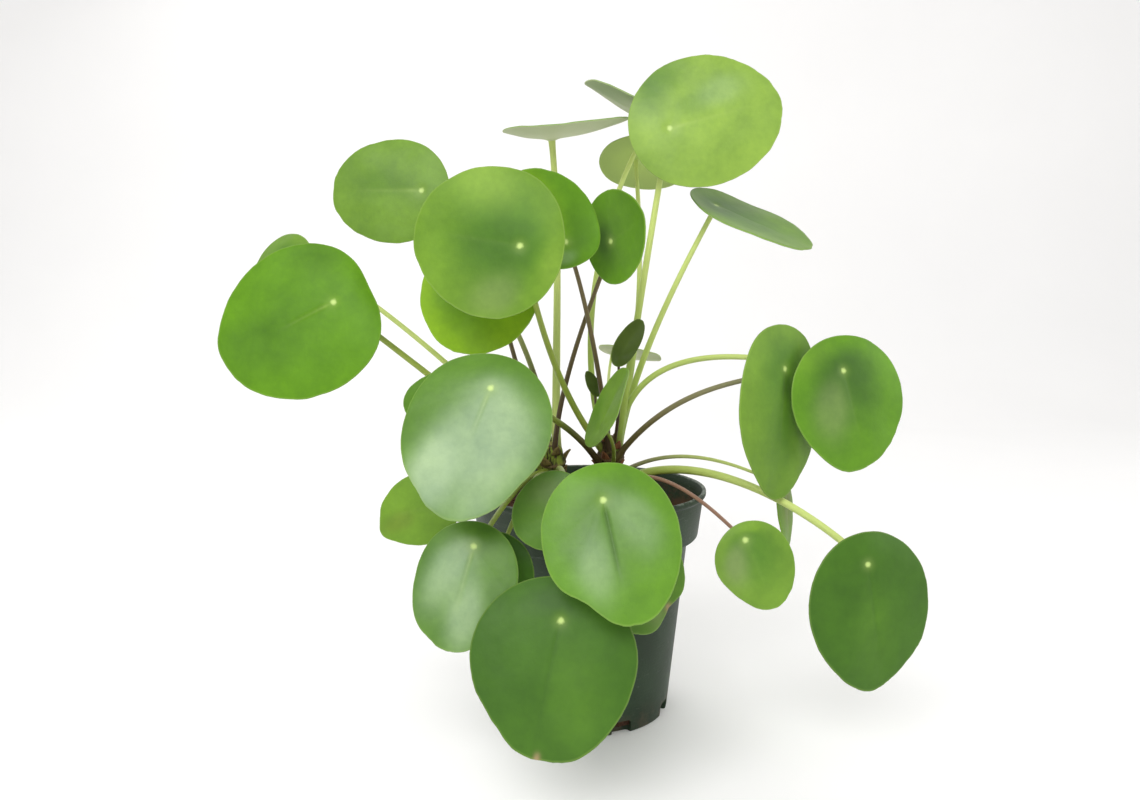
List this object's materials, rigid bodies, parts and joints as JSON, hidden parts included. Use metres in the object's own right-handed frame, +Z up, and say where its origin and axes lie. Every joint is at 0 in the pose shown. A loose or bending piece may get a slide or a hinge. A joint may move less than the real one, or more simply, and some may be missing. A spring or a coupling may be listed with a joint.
{
  "type": "potted chinese money plant",
  "caption": "Round peltate leaves on long thin stalks from short woody stems, rooted in soil in a tapered plastic nursery pot with a deep rim.",
  "frame": {"origin": "centre of the pot's foot, on the surface that the pot stands on", "axes": "+Z up, the plant's front looks along -Y, +X to its right"},
  "size_m": [0.2866, 0.2207, 0.2857],
  "materials": {
    "pot": "matte, dark grey-green",
    "soil": "crumbly potting mix of bark and peat",
    "bark": "rough woody stem with leaf scars",
    "leaf_green": "smooth fleshy leaf",
    "leaf_deep": "smooth fleshy leaf, darker",
    "leaf_light": "smooth young leaf, yellow-green",
    "leaf_glossy": "glossy fleshy leaf",
    "stalk_pale": "smooth pale green stalk",
    "stalk_olive": "smooth olive stalk",
    "stalk_brown": "smooth brown stalk",
    "stalk_red": "smooth reddish stalk"
  },
  "bodies": {
    "root": {"pot": "pot", "soil": "soil", "stem_left": "bark", "stem_right": "bark", "leaf_01_blade": "leaf_green", "leaf_01_stalk": "stalk_olive", "leaf_02_blade": "leaf_deep", "leaf_02_stalk": "stalk_pale", "leaf_03_blade": "leaf_green", "leaf_03_stalk": "stalk_olive", "leaf_04_blade": "leaf_light", "leaf_04_stalk": "stalk_olive", "leaf_05_blade": "leaf_green", "leaf_05_stalk": "stalk_brown", "leaf_06_blade": "leaf_green", "leaf_06_stalk": "stalk_brown", "leaf_07_blade": "leaf_deep", "leaf_07_stalk": "stalk_brown", "leaf_08_blade": "leaf_light", "leaf_08_stalk": "stalk_pale", "leaf_09_blade": "leaf_green", "leaf_09_stalk": "stalk_pale", "leaf_10_blade": "leaf_green", "leaf_10_stalk": "stalk_pale", "leaf_11_blade": "leaf_deep", "leaf_11_stalk": "stalk_pale", "leaf_12_blade": "leaf_green", "leaf_12_stalk": "stalk_olive", "leaf_13_blade": "leaf_green", "leaf_13_stalk": "stalk_olive", "leaf_14_blade": "leaf_green", "leaf_14_stalk": "stalk_pale", "leaf_15_blade": "leaf_light", "leaf_15_stalk": "stalk_red", "leaf_16_blade": "leaf_deep", "leaf_16_stalk": "stalk_pale", "leaf_17_blade": "leaf_light", "leaf_17_stalk": "stalk_olive", "leaf_19_blade": "leaf_glossy", "leaf_19_stalk": "stalk_olive", "leaf_20_blade": "leaf_light", "leaf_20_stalk": "stalk_pale", "leaf_21": "leaf_deep", "leaf_22_blade": "leaf_glossy", "leaf_22_stalk": "stalk_olive", "leaf_23_blade": "leaf_glossy", "leaf_23_stalk": "stalk_olive", "leaf_24_blade": "leaf_green", "leaf_24_stalk": "stalk_olive", "leaf_25_blade": "leaf_green", "leaf_25_stalk": "stalk_olive", "leaf_26": "leaf_deep", "leaf_27_blade": "leaf_green", "leaf_27_stalk": "stalk_olive", "leaf_28": "leaf_deep", "leaf_29": "leaf_light", "leaf_30": "leaf_light", "leaf_31": "leaf_deep"}
  },
  "joints": []
}
